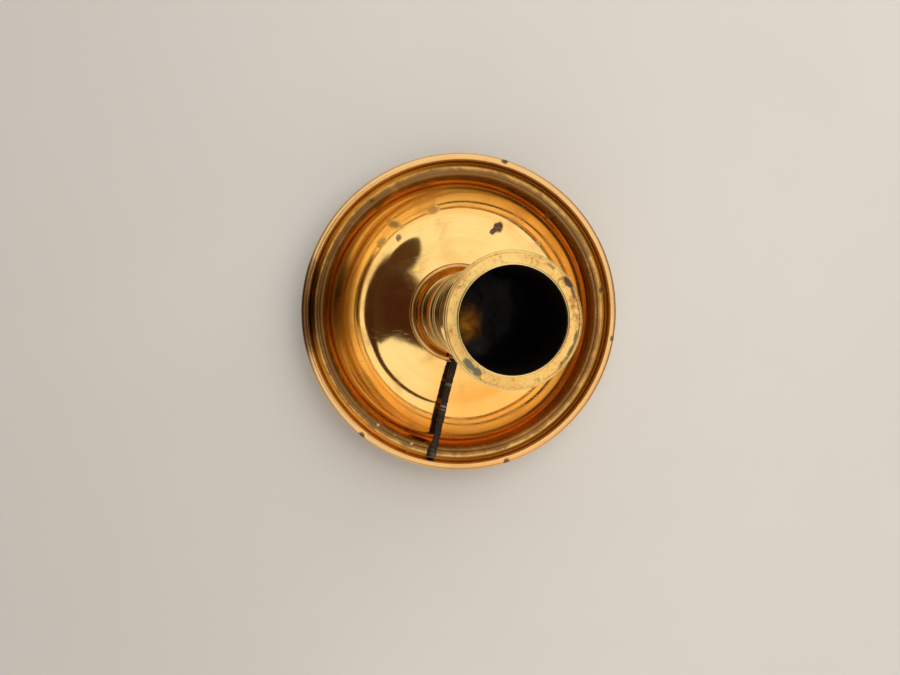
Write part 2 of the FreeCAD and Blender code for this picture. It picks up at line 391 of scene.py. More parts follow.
class Graph:
    """Nodes of one material, or of the world."""

    def __init__(self, owner: bpy.types.Material | bpy.types.World, place: str = "Object") -> None:
        self.owner = owner
        owner.use_nodes = True
        self.tree = owner.node_tree
        self.tree.nodes.clear()
        self.place = self.node("ShaderNodeTexCoord").outputs[place]
        split = self.node("ShaderNodeSeparateXYZ", {}, {"Vector": self.place})
        self.x = Value(self, split.outputs["X"]) * (1 / MM)
        self.y = Value(self, split.outputs["Y"]) * (1 / MM)
        self.z = Value(self, split.outputs["Z"]) * (1 / MM)
        self.r = (self.x * self.x + self.y * self.y) ** 0.5

    @classmethod
    def material(cls, name: str) -> "Graph":
        """Starts a new material."""
        return cls(bpy.data.materials.new(name))

    def node(self, kind: str, settings: dict | None = None, inputs: dict | None = None) -> bpy.types.Node:
        """Adds a node.

        Args:
            kind: Type of the node.
            settings: Its properties, set first.
            inputs: Values or links of its sockets, by name or place.

        Returns:
            The new node.
        """
        node = self.tree.nodes.new(kind)
        for key, value in (settings or {}).items():
            setattr(node, key, value)
        for key, value in (inputs or {}).items():
            socket = node.inputs[key]
            if isinstance(value, Value):
                value = value.socket
            if isinstance(value, bpy.types.NodeSocket):
                self.tree.links.new(value, socket)
            else:
                socket.default_value = value
        return node

    def maths(self, operation: str, *values: Value | float) -> Value:
        """Adds a Math node for an expression."""
        node = self.node("ShaderNodeMath", {"operation": operation}, dict(enumerate(values)))
        return Value(self, node.outputs[0])

    def vector(self, x: Value | float, y: Value | float, z: Value | float) -> bpy.types.NodeSocket:
        """Joins three values into a vector."""
        return self.node("ShaderNodeCombineXYZ", {}, {"X": x, "Y": y, "Z": z}).outputs[0]

    def noise(self, scale: float, detail: float = 3.0, roughness: float = 0.5, distortion: float = 0.0,
              place: bpy.types.NodeSocket | None = None, offset: float = 0.0) -> Value:
        """Noise over the surface.

        Args:
            scale: Waves per metre of object space, or per unit of the given place.
            detail: Octaves.
            roughness: Weight of the finer octaves.
            distortion: How much it swirls.
            place: Coordinates to read in place of the object's own.
            offset: Shift that makes a fresh pattern.

        Returns:
            The noise, about 0.5.
        """
        where = place or self.place
        if offset:
            where = self.node("ShaderNodeVectorMath", {"operation": "ADD"},
                              {0: where, 1: (offset, offset, offset)}).outputs[0]
        node = self.node("ShaderNodeTexNoise", {},
                         {"Vector": where, "Scale": scale, "Detail": detail, "Roughness": roughness,
                          "Distortion": distortion})
        return Value(self, node.outputs[0])

    def attribute(self, name: str) -> Value:
        """A point attribute of the piece."""
        return Value(self, self.node("ShaderNodeAttribute", {"attribute_name": name}).outputs["Fac"])

    def mix(self, factor: Value | float, one: object, other: object) -> bpy.types.NodeSocket:
        """Mixes two colours, each a socket or red, green and blue."""
        node = self.node("ShaderNodeMix", {"data_type": "RGBA"}, {0: factor})
        for place, colour in ((6, one), (7, other)):
            if isinstance(colour, bpy.types.NodeSocket):
                self.tree.links.new(colour, node.inputs[place])
            else:
                node.inputs[place].default_value = (*colour, 1.0)
        return node.outputs[2]

    def bump(self, height: Value, distance: float, strength: float = 1.0,
             under: bpy.types.NodeSocket | None = None) -> bpy.types.NodeSocket:
        """Turns a height into a normal.

        Args:
            height: The height, in units of the distance.
            distance: Real height of one unit, in millimetres.
            strength: Share of it that shows.
            under: Normal to add to.

        Returns:
            The new normal.
        """
        inputs: dict = {"Height": height, "Distance": distance * MM, "Strength": strength}
        if under:
            inputs["Normal"] = under
        return self.node("ShaderNodeBump", {}, inputs).outputs[0]

    def finish(self, **inputs: object) -> bpy.types.Material:
        """Adds the surface shader; names hold underscores where its sockets have spaces."""
        named = {key.replace("_", " "): value for key, value in inputs.items()}
        for key, value in named.items():
            if key == "Base Color" and isinstance(value, tuple):
                named[key] = (*value, 1.0)
        shader = self.node("ShaderNodeBsdfPrincipled", {}, named)
        self.node("ShaderNodeOutputMaterial", {}, {"Surface": shader.outputs[0]})
        return self.owner


# --- Finishes ---------------------------------------------------------------------------------------


@dataclass(frozen=True)
class Stain:
    """A stain on the metal: its middle, its half length and half width, its turn, and how dark it is."""

    x: float
    y: float
    length: float
    width: float
    turn: float = 0.0
    strength: float = 1.0
    softness: float = 0.35

    def mask(self, graph: Graph, ragged: Value) -> Value:
        """The stain's coverage, with an uneven border.

        Args:
            graph: The material's graph.
            ragged: Noise, about 0.5, that bends the border.

        Returns:
            0 outside and the stain's strength inside.
        """
        turn = math.radians(self.turn)
        dx, dy = graph.x - self.x, graph.y - self.y
        along = (dx * math.cos(turn) + dy * math.sin(turn)) / self.length
        across = (dy * math.cos(turn) - dx * math.sin(turn)) / self.width
        far = (along * along + across * across) ** 0.5 + (ragged - 0.5) * 1.5
        return far.ramp(1.0 + self.softness, 1.0 - self.softness, 0.0, self.strength)


@dataclass(frozen=True)
class BrassFinish:
    """Polished brass that has been used: turning lines, rubbed scratches, tarnish and stains, with painted
    shade in its grooves and, where asked, on dish walls and in a crease.
    """

    bright: Triple = (0.95, 0.65, 0.235)
    warm: Triple = (0.90, 0.55, 0.17)
    tarnish: Triple = (0.34, 0.17, 0.06)
    soot: Triple = (0.05, 0.03, 0.018)
    rubbed: Triple = (0.84, 0.50, 0.21)
    painted_wall_shade: Triple = (0.56, 0.30, 0.09)
    polish: float = 0.035
    dull: float = 0.3
    tarnish_share: float = 0.3
    groove_shade: float = 0.75
    turning_depth: float = 0.0009
    scratch_depth: float = 0.0010
    hammer_depth: float = 0.05
    rubbed_from_z: float | None = None
    rubbed_rise: float = 0.9
    # Where the painted shade on the dish walls starts and ends, by height and radius.
    wall_shade_from_z: float | None = None
    wall_shade_rise: float = 2.5
    wall_shade_from_r: Pair = (28.0, 38.0)
    wall_shade_to_r: Pair = (45.6, 47.0)
    crease_grime_and_shade: Pair | None = None
    crease_grime_and_shade_z: Pair = (7.0, 9.5)
    grime_and_shade: Triple = (0.15, 0.06, 0.017)
    speck_tint: Triple = (0.86, 0.74, 0.55)
    specks: tuple[Stain, ...] = ()
    tints: tuple[tuple[Stain, Triple], ...] = ()
    stain_dark: Triple = (0.035, 0.015, 0.008)
    stain_brown: Triple = (0.17, 0.085, 0.04)
    stains: tuple[Stain, ...] = ()

    def build(self, name: str) -> bpy.types.Material:
        """Makes the material.

        Args:
            name: Name of the material.

        Returns:
            The material.
        """
        g = Graph.material(name)
        colour, rough, normal = self.metal(g)
        ragged = g.noise(420.0, 3.0, 0.6, offset=5.0)
        fine = g.noise(900.0, 3.0, 0.6, offset=3.1)
        cover = fine * 0.0
        for stain in self.stains:
            cover = cover.highest(stain.mask(g, ragged))
        colour = g.mix(cover, colour, g.mix(fine.ramp(0.35, 0.65), self.stain_dark, self.stain_brown))
        for speck in self.specks:
            mask = speck.mask(g, ragged)
            colour = g.mix(mask, colour, self.speck_tint)
            cover = cover.highest(mask)
        normal = g.bump(cover * (0.6 + ragged * 0.8), 0.04, under=normal)
        return g.finish(Base_Color=colour, Metallic=1.0 - cover * 0.35,
                        Roughness=(rough + cover * 0.25).lowest(0.9), Normal=normal)

    def metal(self, g: Graph) -> tuple[bpy.types.NodeSocket, Value, bpy.types.NodeSocket]:
        """Adds the metal's colour, with its painted shade, and its roughness and normal.

        Args:
            g: The material's graph.

        Returns:
            Colour, roughness and normal.
        """
        cloud = g.noise(70.0, 4.0, 0.55, 0.6)
        blotch = g.noise(190.0, 3.0, 0.6, 0.9, offset=11.0)
        fine = g.noise(900.0, 3.0, 0.6, offset=3.1)
        groove, edge = g.attribute("groove"), g.attribute("edge")
        rings = g.noise(1.0, 2.0, 0.6, place=g.vector(g.r * 5.0, g.z * 5.0, 0.0))
        slow_rings = g.noise(1.0, 2.0, 0.5, place=g.vector(g.r * 0.9, g.z * 0.9, 0.0), offset=7.0)
        scratches = self.scratches(g)
        colour = g.mix((cloud * 0.8 + slow_rings * 0.4).ramp(0.45, 0.8), self.bright, self.warm)
        patches = cloud.ramp(0.48, 0.68) * (0.35 + blotch * 0.65)
        # Painted shade: the tarnish colour laid in the grooves of the profile. The noise patches added to it
        # are the metal's own tarnish, and worn edges lighten both.
        grime_and_shade = (groove * self.groove_shade * blotch.ramp(0.2, 0.6, 0.55, 1.0) + patches * self.tarnish_share)
        grime_and_shade = (grime_and_shade * (1.0 - edge * 0.7)).lowest(1.0)
        colour = g.mix(grime_and_shade, colour, self.tarnish)
        pitting = g.noise(2600.0, 2.0, 0.5, offset=9.0).ramp(0.68, 0.74) * cloud.ramp(0.42, 0.6)
        colour = g.mix(pitting * 0.6, colour, self.soot)
        rough = self.polish + grime_and_shade * (self.dull - self.polish) + scratches * 0.07
        rough = rough + fine * 0.02 + blotch * 0.02
        # Painted shade: the dish's walls, from the floor's edge up to the crease, darkened to a brown brass
        # in place of their dark reflection.
        if self.wall_shade_from_z is not None:
            low = self.wall_shade_from_z
            shade = (g.z.ramp(low, low + self.wall_shade_rise) * g.r.ramp(*self.wall_shade_from_r)
                     * g.r.ramp(*self.wall_shade_to_r[::-1]))
            colour = g.mix(shade * (0.6 + cloud.ramp(0.35, 0.65) * 0.35), colour, self.painted_wall_shade)
        # A darker, rougher band round the crease by the rim: partly dirt, partly painted shade in the crease.
        if self.crease_grime_and_shade is not None:
            middle, half = self.crease_grime_and_shade
            near = ((g.r - middle) * (1 / half)) ** 2.0 + (blotch - 0.5) * 3.0 + (cloud - 0.5) * 2.4
            band = near.ramp(1.8, 0.0) * g.z.ramp(*self.crease_grime_and_shade_z)
            colour = g.mix(band * 0.8, colour, self.grime_and_shade)
            rough = rough + band * 0.2
        if self.rubbed_from_z is not None:
            rubbed = g.z.ramp(self.rubbed_from_z, self.rubbed_from_z + self.rubbed_rise)
            colour = g.mix(rubbed * 0.8, colour, self.rubbed)
            rough = rough + rubbed * 0.12
        for stain, tint in self.tints:
            colour = g.mix(stain.mask(g, cloud), colour, tint)
        normal = g.bump(g.noise(55.0, 1.0, 0.4, offset=1.7), self.hammer_depth)
        normal = g.bump(rings, self.turning_depth, under=normal)
        normal = g.bump(scratches * -1.0 + fine * 0.3, self.scratch_depth, under=normal)
        return colour, rough, normal

    @staticmethod
    def scratches(g: Graph) -> Value:
        """Thin, short rubbed scratches in several directions."""
        total = g.z * 0.0
        patch = g.noise(130.0, 2.0, 0.5, offset=8.0).ramp(0.45, 0.65)
        for angle, offset in ((0.4, 0.0), (1.5, 4.0), (2.6, 6.0)):
            turned = g.node("ShaderNodeMapping", {}, {"Vector": g.place, "Rotation": (0.2, 0.3, angle),
                                                      "Scale": (150.0, 4200.0, 1300.0)})
            total = total + g.noise(1.0, 1.0, 0.4, place=turned.outputs[0], offset=offset).ramp(0.68, 0.74)
        return total * patch


@dataclass(frozen=True)
class SootedBrassFinish(BrassFinish):
    """The socket: brass outside, black soot and old wax inside the candle bore, and an orange patch on the
    bore's left wall that is partly bare brass, partly painted light.
    """

    bore_r: float = 11.0
    bore_floor_z: float = 67.0
    mouth_z: float = 95.0
    lit_bare_brass: Triple = (0.50, 0.22, 0.05)
    black: Triple = (0.004, 0.003, 0.002)
    crust: Triple = (0.014, 0.009, 0.006)
    lit_bare_patch: Stain = Stain(-10.9, -1.6, 4.6, 3.4, 90.0, 0.9, 0.8)
    lit_bare_z: Pair = (73.0, 86.0)

    def build(self, name: str) -> bpy.types.Material:
        """Makes the material: the outside finish with the bore's soot mixed over it."""
        g = Graph.material(name)
        colour, rough, normal = self.metal(g)
        inside = g.r.ramp(self.bore_r + 0.12, self.bore_r + 0.02)
        soot = inside * g.z.ramp(self.bore_floor_z - 2.0, self.bore_floor_z - 1.0)
        soot = soot * g.z.ramp(self.mouth_z + 0.3, self.mouth_z - 1.1)
        worn = g.noise(260.0, 4.0, 0.6, 0.8, offset=2.0)
        crust = g.mix(worn.ramp(0.42, 0.7), self.crust, self.black)
        # Orange patch on the bore's left wall: partly bare brass under the soot, partly a painted pool of
        # light falling into the bore.
        lit_bare = self.lit_bare_patch.mask(g, worn) * g.z.ramp(*self.lit_bare_z[::-1])
        colour = g.mix(soot, colour, g.mix(lit_bare, crust, self.lit_bare_brass))
        normal = g.bump(worn * soot, 0.45, under=normal)
        return g.finish(Base_Color=colour, Metallic=1.0 - soot * (1.0 - lit_bare * 0.8),
                        Roughness=(rough + soot * (0.2 + worn * 0.25)).lowest(0.9), Normal=normal)


@dataclass(frozen=True)
class LipFinish:
    """The mouth ring: heat-marked, speckled brass with bright rubbed edges."""

    top_z: float = 95.0
    worn_edge: Triple = (0.98, 0.78, 0.34)
    pale: Triple = (0.96, 0.64, 0.17)
    straw: Triple = (0.92, 0.45, 0.10)
    rust: Triple = (0.50, 0.15, 0.025)
    verdigris: Triple = (0.17, 0.17, 0.11)
    char: Triple = (0.07, 0.045, 0.03)
    red_marks: tuple[Stain, ...] = ()
    green_marks: tuple[Stain, ...] = ()
    dark_marks: tuple[Stain, ...] = ()

    def build(self, name: str) -> bpy.types.Material:
        """Makes the material."""
        g = Graph.material(name)
        edge = g.attribute("edge")
        top = g.z.ramp(self.top_z - 0.25, self.top_z - 0.08)
        flat = top * (1.0 - edge.ramp(0.25, 0.8))
        cloud = g.noise(330.0, 4.0, 0.6, 0.7)
        speckle = g.noise(1300.0, 3.0, 0.6, 0.3, offset=2.0)
        fine = g.noise(3200.0, 2.0, 0.5, offset=6.0)
        ragged = g.noise(700.0, 3.0, 0.65, offset=5.0) * 0.6 + g.noise(1900.0, 3.0, 0.6, offset=8.0) * 0.4
        colour = g.mix((cloud.ramp(0.4, 0.62) * 0.6 + speckle.ramp(0.35, 0.65) * 0.5), self.pale, self.straw)
        colour = g.mix(flat, self.worn_edge, colour)
        rusty = speckle.ramp(0.56, 0.66) * cloud.ramp(0.40, 0.60) * flat
        colour = g.mix(rusty * 0.8, colour, self.rust)
        colour = g.mix(fine.ramp(0.62, 0.70) * flat * 0.5, colour, self.char)
        cover = rusty * 0.0
        for marks, tint, share in ((self.red_marks, self.rust, 0.75), (self.green_marks, self.verdigris, 1.0),
                                   (self.dark_marks, self.char, 1.0)):
            for mark in marks:
                mask = mark.mask(g, ragged) * share
                if marks is self.red_marks:
                    mask = mask * speckle.ramp(0.4, 0.6)
                colour = g.mix(mask, colour, tint)
                cover = cover.highest(mask)
        rough = 0.17 + flat * 0.16 + rusty * 0.15 + cover * 0.2 + speckle * 0.05
        normal = g.bump(cloud * flat, 0.03)
        normal = g.bump(speckle * flat, 0.012, under=normal)
        normal = g.bump(cover * ragged, 0.12, under=normal)
        return g.finish(Base_Color=colour, Metallic=1.0 - cover * 0.7 - rusty * 0.2,
                        Roughness=rough.lowest(0.9), Normal=normal)


@dataclass(frozen=True)
class CharFinish:
    """Burnt wood: black, cracked across, with bands of pale ash."""

    char: Triple = (0.011, 0.0055, 0.0025)
    brown: Triple = (0.065, 0.030, 0.010)
    ash: Triple = (0.30, 0.26, 0.24)
    head_grey: Triple = (0.09, 0.08, 0.085)
    bands: tuple[Triple, ...] = ()
    head_from: float = 0.0

    def build(self, name: str) -> bpy.types.Material:
        """Makes the material; "along" on the piece is the distance along the stick's heading."""
        g = Graph.material(name)
        along = g.attribute("along") * (1 / MM)
        grain = g.node("ShaderNodeMapping", {},
                       {"Vector": g.place, "Rotation": (0.0, 0.0, math.radians(12.0)),
                        "Scale": (2600.0, 320.0, 2600.0)})
        fibres = g.noise(1.0, 4.0, 0.6, place=grain.outputs[0])
        cracks = g.noise(1.0, 3.0, 0.6, place=g.vector(along * 1.6, g.x * 0.25, g.z * 0.3))
        patch = g.noise(330.0, 3.0, 0.6, 0.5, offset=4.0)
        colour = g.mix((fibres * 0.5 + patch * 0.7).ramp(0.5, 0.85), self.char, self.brown)
        cover: Value = patch * 0.0
        for middle, half, strength in self.bands:
            far = ((along - middle) * (1 / half)) ** 2.0
            cover = cover.highest((far + (patch - 0.5) * 1.6).ramp(1.25, 0.5, 0.0, strength))
        colour = g.mix(cover, colour, self.ash)
        head = (along + (patch - 0.5) * 2.0).ramp(self.head_from - 0.7, self.head_from + 0.7)
        colour = g.mix(head * 0.85, colour, self.head_grey)
        crackle = cracks.ramp(0.5, 0.38)
        colour = g.mix(crackle * 0.8, colour, self.char)
        normal = g.bump(fibres, 0.06)
        normal = g.bump(1.0 - crackle, 0.12, under=normal)
        return g.finish(Base_Color=colour, Roughness=0.5 + patch * 0.3, Normal=normal)


@dataclass(frozen=True)
class WaxFinish:
    """Old candle wax, blackened by soot, with an orange patch that is partly bare brass, partly painted
    light.
    """

    soot: Triple = (0.003, 0.002, 0.0015)
    clear: Triple = (0.007, 0.0045, 0.003)
    lilac: Triple = (0.06, 0.052, 0.056)
    lit_bare: Triple = (0.42, 0.17, 0.02)
    lilac_patch: Stain = Stain(-3.6, -7.0, 2.6, 1.8, 20.0, 0.8, 0.8)
    lit_bare_patch: Stain = Stain(-5.8, -1.6, 3.4, 2.6, 80.0, 1.0, 0.8)

    def build(self, name: str) -> bpy.types.Material:
        """Makes the material."""
        g = Graph.material(name)
        cloud = g.noise(300.0, 4.0, 0.6, 0.6)
        colour = g.mix(cloud.ramp(0.45, 0.7), self.soot, self.clear)
        colour = g.mix(self.lilac_patch.mask(g, cloud), colour, self.lilac)
        # Orange metallic patch on the wax: partly the brass floor showing through, partly a painted pool of
        # light falling into the bore.
        lit_bare = self.lit_bare_patch.mask(g, cloud)
        colour = g.mix(lit_bare, colour, self.lit_bare)
        normal = g.bump(g.noise(420.0, 3.0, 0.55, 0.5, offset=3.0), 0.15)
        return g.finish(Base_Color=colour, Metallic=lit_bare, Roughness=0.35 + cloud * 0.3, Normal=normal,
                        Specular_IOR_Level=0.2)


@dataclass(frozen=True)
class FeltFinish:
    """Green baize: short matted fibres."""

    dark: Triple = (0.02, 0.05, 0.028)
    light: Triple = (0.06, 0.125, 0.07)
    worn: Triple = (0.11, 0.14, 0.1)

    def build(self, name: str) -> bpy.types.Material:
        """Makes the material."""
        g = Graph.material(name)
        fibres = g.noise(2400.0, 5.0, 0.7, 1.2)
        worn = g.noise(90.0, 3.0, 0.6, offset=2.0)
        colour = g.mix(fibres.ramp(0.3, 0.7), self.dark, self.light)
        colour = g.mix(worn.ramp(0.55, 0.75) * 0.4, colour, self.worn)
        return g.finish(Base_Color=colour, Roughness=0.95, Sheen_Weight=0.5, Normal=g.bump(fibres, 0.25))


@dataclass(frozen=True)
class SteelFinish:
    """Plain steel, duller in random patches."""

    metal: Triple = (0.46, 0.45, 0.43)
    dull: Triple = (0.2, 0.17, 0.14)
    roughness: float = 0.34

    def build(self, name: str) -> bpy.types.Material:
        """Makes the material."""
        g = Graph.material(name)
        cloud = g.noise(380.0, 4.0, 0.6, 0.4)
        fine = g.noise(2600.0, 2.0, 0.5, offset=4.0)
        colour = g.mix(cloud.ramp(0.4, 0.72), self.metal, self.dull)
        return g.finish(Base_Color=colour, Metallic=1.0, Roughness=self.roughness + cloud * 0.25,
                        Normal=g.bump(fine, 0.008))


# --- Sub-assemblies ---------------------------------------------------------------------------------


def settle(obj: bpy.types.Object, body: Body, slot: Slot, material: bpy.types.Material, *nodes: str) -> None:
    """Dresses a piece, makes it ride on its body and lets it stand for its nodes.

    Args:
        obj: The piece.
        body: The body it rides on.
        slot: The record's slot for the piece; not used.
        material: Its material.
        *nodes: The nodes that it replaces.
    """
    obj.data.materials.clear()
    obj.data.materials.append(material)
    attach(obj, body.value)
    if nodes:
        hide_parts(*nodes)
    LOG.info("%s: %d faces, rides on %s", obj.name, len(obj.data.polygons), body.value)


@dataclass
class Pan:
    """Dished pan, spun from sheet, with a rolled rim."""

    sheet: float = 0.8
    roll_r: float = 1.3
    roll_gap: float = 0.25
    rim_z: float = 12.6
    cove_w: float = 2.7
    cove_r: float = 2.0
    cove_fall: float = 0.1
    step_w: float = 1.25
    step_h: float = 0.6
    step_fillet: float = 1.2
    crease_fillet: float = 0.8
    dish_from_r: float = 34.0
    dish_rise: float = math.tan(math.radians(22.0))
    dish_round: float = 20.0
    wall_from_r: float = 41.35
    wall_round: float = 2.5
    slope: float = math.tan(math.radians(2.4))
    felt_r: float = 29.0
    floor_at_felt: float = 2.3
    boss_r: float = 9.8
    boss_foot_r: float = 12.6
    boss_z: float = 7.6
    boss_fillet: float = 1.2
    boss_foot_fillet: float = 0.6
    hole_r: float = 3.25
    land_h: float = 0.32
    steps: int = 256

    def floor_z(self, r: float) -> float:
        """Height of the floor's upper face."""
        return self.floor_at_felt + (self.felt_r - r) * self.slope

    def wall_from_z(self) -> float:
        """Height at which the wall steepens."""
        return self.floor_z(self.dish_from_r) + (self.wall_from_r - self.dish_from_r) * self.dish_rise

    def upper_face(self) -> list[Corner]:
        """Corners of the upper face, from the hole to the end of the roll."""
        rim_r = node_radius("drip_pan")
        wall_r = rim_r - 2 * self.roll_r
        crease_r = wall_r - self.cove_w
        step_r = crease_r - self.step_w
        cove_z = self.rim_z - self.cove_r
        crease_z = cove_z - self.cove_fall
        top, bottom = self.rim_z + self.roll_r, self.rim_z - self.roll_r
        return [
            Corner(self.hole_r, self.boss_z),
            Corner(self.boss_r, self.boss_z, self.boss_fillet),
            Corner(self.boss_foot_r, self.floor_z(self.boss_foot_r), self.boss_foot_fillet),
            Corner(self.dish_from_r, self.floor_z(self.dish_from_r), self.dish_round),
            Corner(self.wall_from_r, self.wall_from_z(), self.wall_round),
            Corner(step_r, crease_z + self.step_h, self.step_fillet),
            Corner(crease_r, crease_z, self.crease_fillet),
            Corner(wall_r, cove_z, self.cove_r),
            Corner(wall_r, top, self.roll_r),
            Corner(rim_r, top, self.roll_r),
            Corner(rim_r, bottom, self.roll_r),
            Corner(wall_r + self.sheet + self.roll_gap, bottom),
        ]

    def outline(self) -> Outline:
        """The sheet's whole section."""
        upper = self.upper_face()
        lower = beside(upper, self.sheet)
        return Outline(lower + upper[::-1], longest_run=2.0)

    def faults(self) -> HandMade:
        """Dents in the rim and a slow waver of the sheet."""
        rim_r, top = node_radius("drip_pan") - self.roll_r, self.rim_z + self.roll_r
        dents = (
            Dent(74.7, rim_r, top, 1.0, 0.42, -0.6, -0.7),
            Dent(-73.1, rim_r, top, 1.0, 0.38, -0.6, -0.7),
            Dent(-130.0, rim_r, top, 1.1, 0.42, -0.7, -0.7),
            Dent(-9.3, rim_r, top, 0.8, 0.3, -0.5, -0.6),
            Dent(163.0, rim_r, top, 1.4, 0.2, -0.6, -0.5),
            Dent(31.0, rim_r, top, 1.6, 0.15, -0.6, -0.5),
            Dent(-38.0, rim_r, top, 1.3, 0.18, -0.6, -0.4),
        )
        return HandMade(waver=0.1, waver_length=26.0, waver_from_r=18.0, dents=dents, seed=2.0,
                        land_z=top - self.land_h)

    def finish(self) -> BrassFinish:
        """Brass of the pan, with its stains; painted shade on its left side, on its dish walls, in its
        grooves and in its crease.
        """
        return BrassFinish(rubbed_from_z=self.rim_z + 0.2, wall_shade_from_z=3.8, crease_grime_and_shade=(44.8, 1.6), tints=(
            # The first tint is painted shade, darkening the rim and wall on the left side; the second makes
            # the floor more orange lower down.
            (Stain(-52.0, 4.0, 19.0, 7.0, 90.0, 0.95, 0.5), (0.12, 0.045, 0.012)),
            (Stain(9.0, -31.5, 17.0, 7.5, 8.0, 0.8, 0.6), (0.95, 0.46, 0.09)),
        ), specks=(
            Stain(-16.1, -42.1, 0.5, 0.4, 20.0, 0.8, 0.5),
            Stain(-26.9, -35.8, 0.45, 0.4, 50.0, 0.8, 0.5),
            Stain(-21.6, -39.2, 0.3, 0.25, 50.0, 0.5, 0.5),
        ), stains=(
            Stain(13.2, 28.6, 1.9, 1.4, 60.0, 1.0, 0.2),
            Stain(11.6, 27.3, 1.5, 0.95, 25.0, 1.0, 0.2),
            Stain(-21.2, 28.8, 2.1, 1.2, -15.0, 0.62, 0.5),
            Stain(-19.9, 24.9, 0.9, 1.1, 0.0, 0.75, 0.4),
            Stain(-25.4, 23.5, 1.7, 0.9, 50.0, 0.45, 0.6),
            Stain(-8.7, 33.9, 1.6, 1.1, 10.0, 0.5, 0.6),
            Stain(26.7, 23.5, 0.5, 0.8, 60.0, 0.5, 0.5),
            Stain(28.7, 32.1, 1.1, 0.9, 60.0, 0.65, 0.5),
            Stain(46.1, 7.7, 1.2, 0.9, 80.0, 0.85, 0.4),
            Stain(-28.7, 35.4, 0.7, 0.6, 0.0, 0.8, 0.4),
            Stain(13.1, 48.1, 1.0, 0.9, -15.0, 0.9, 0.4),
            Stain(14.5, -47.8, 1.0, 0.9, 17.0, 0.9, 0.4),
            Stain(-32.1, -38.3, 0.8, 1.1, 50.0, 0.9, 0.4),
            Stain(49.0, -8.0, 0.7, 0.9, 0.0, 0.8, 0.4),
        ))

    def make(self) -> None:
        """Builds and dresses the pan."""
        pan = lathe("spun_pan", self.outline(), self.steps, self.faults())
        settle(pan, Body.CANDLESTICK, Slot.PAN, self.finish().build("pan_brass_worn"), "drip_pan")


@dataclass
class Stem:
    """Foot collar, pillar and knop."""

    hole_r: float = 3.25
    edge: float = 0.3
    tight: float = 0.15
    steps: int = 160
    seat_r: float = 13.2
    recess_r: float = 10.9
    boss_z: float = 7.6
    foot_bead_h: float = 2.3
    foot_under: float = 0.7
    foot_over: float = 1.0
    ledge_w: float = 1.3
    ledge_h: float = 0.5
    ledge_slope: float = 0.2
    foot_cove: float = 2.0
    foot_cove_z: float = 7.2
    neck_r: float = 13.0
    neck_flare: float = 0.2
    base_inset: float = 0.4
    base_h: float = 1.4
    base_ledge_h: float = 0.3
    base_ledge_w: float = 0.7
    waist_r: float = 11.1
    waist_h: float = 8.0
    waist_round: float = 20.0
    pillar_top_r: float = 10.9
    knop_neck_r: float = 11.3
    bead_z: Pair = (1.3, 4.3)
    bead_round: float = 1.2
    small_bead_r: float = 12.1
    small_bead_z: Pair = (4.9, 6.9)
    small_bead_round: float = 0.55
    groove_r: float = 11.5
    taper: float = 0.2

    def foot(self, pan: Pan) -> Outline:
        """Section of the collar on the pan's floor."""
        radius = node_radius("stem_foot")
        _, top = node_heights("stem_foot")
        bead = pan.floor_z(radius) + self.foot_bead_h
        ledge = radius - self.ledge_w
        return Outline([
            Corner(self.seat_r, pan.floor_z(self.seat_r)),
            Corner(radius, pan.floor_z(radius), self.foot_under),
            Corner(radius, bead, self.foot_over),
            Corner(ledge, bead, self.tight),
            Corner(ledge - self.ledge_slope, bead + self.ledge_h, self.tight),
            Corner(self.neck_r + self.neck_flare, self.foot_cove_z, self.foot_cove),
            Corner(self.neck_r, top, self.edge),
            Corner(self.hole_r, top),
            Corner(self.hole_r, self.boss_z),
            Corner(self.recess_r, self.boss_z),
        ])

    def pillar(self) -> Outline:
        """Section of the pillar."""
        low, top = node_heights("stem_pillar")
        base_r, base_z = self.neck_r - self.base_inset, low + self.base_h
        return Outline([
            Corner(self.hole_r, low),
            Corner(base_r, low, self.edge),
            Corner(base_r, base_z, self.edge),
            Corner(base_r - self.base_ledge_w, base_z + self.base_ledge_h, self.tight),
            Corner(self.waist_r, low + self.waist_h, self.waist_round),
            Corner(self.pillar_top_r, top, self.tight),
            Corner(self.hole_r, top),
        ])

    def knop(self) -> Outline:
        """Section of the knop with its two beads."""
        foot, top = node_heights("stem_knop")
        radius = node_radius("stem_knop")
        low, high = foot + self.bead_z[0], foot + self.bead_z[1]
        small_low, small_high = foot + self.small_bead_z[0], foot + self.small_bead_z[1]
        return Outline([
            Corner(self.hole_r, foot),
            Corner(self.knop_neck_r, foot, self.tight),
            Corner(self.knop_neck_r + self.taper, low, self.tight),
            Corner(radius, low, self.bead_round),
            Corner(radius, high, self.bead_round),
            Corner(self.groove_r, high, self.tight),
            Corner(self.groove_r, small_low, self.tight),
            Corner(self.small_bead_r, small_low, self.small_bead_round),
            Corner(self.small_bead_r, small_high, self.small_bead_round),
            Corner(self.knop_neck_r, small_high, self.tight),
            Corner(self.knop_neck_r - self.taper, top, self.tight),
            Corner(self.hole_r, top),
        ])

    def make(self, pan: Pan) -> None:
        """Builds and dresses the three turned pieces."""
        # Darker brass than the pan's, with more tarnish: partly the stem's own tarnish, partly painted shade
        # under the socket.
        finish = BrassFinish(bright=(0.86, 0.54, 0.18), warm=(0.76, 0.43, 0.13), tarnish=(0.24, 0.11, 0.035),
                             tarnish_share=0.45, groove_shade=0.95, hammer_depth=0.01)
        material = finish.build("stem_brass_worn")
        pieces = (("foot_collar", self.foot(pan), "stem_foot"),
                  ("turned_pillar", self.pillar(), "stem_pillar"),
                  ("turned_knop", self.knop(), "stem_knop"))
        for name, outline, node in pieces:
            settle(lathe(name, outline, self.steps), Body.CANDLESTICK, Slot.STEM, material, node)


